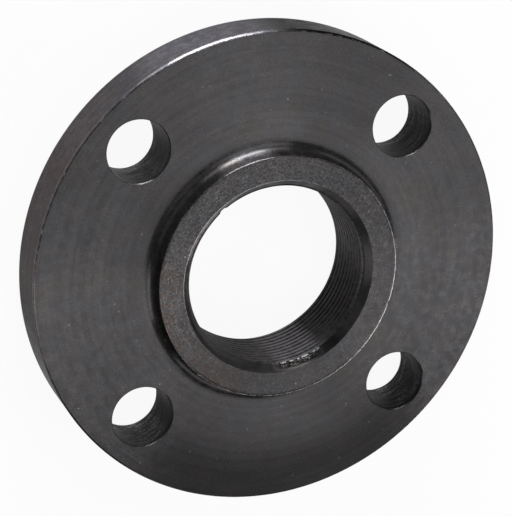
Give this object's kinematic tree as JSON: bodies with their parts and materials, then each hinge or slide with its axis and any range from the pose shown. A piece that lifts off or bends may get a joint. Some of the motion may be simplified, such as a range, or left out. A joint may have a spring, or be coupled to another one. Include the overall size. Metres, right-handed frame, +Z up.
{
  "type": "threaded flange",
  "caption": "Round steel pipe flange with a low hub, a threaded through bore, bolt holes straddling the centre lines and a raised gasket face on the back.",
  "frame": {"origin": "centre of the raised gasket face, on the bore's axis, where the part stands", "axes": "+Z up the bore towards the hub, X and Y straddled by the bolt holes, which lie at 45 degrees to them"},
  "size_m": [0.1524, 0.1524, 0.0254],
  "materials": {
    "steel": "dark oxide over a turned surface, satin, worn bright at the hub's edge"
  },
  "bodies": {
    "root": {"flange": "steel"}
  },
  "joints": []
}
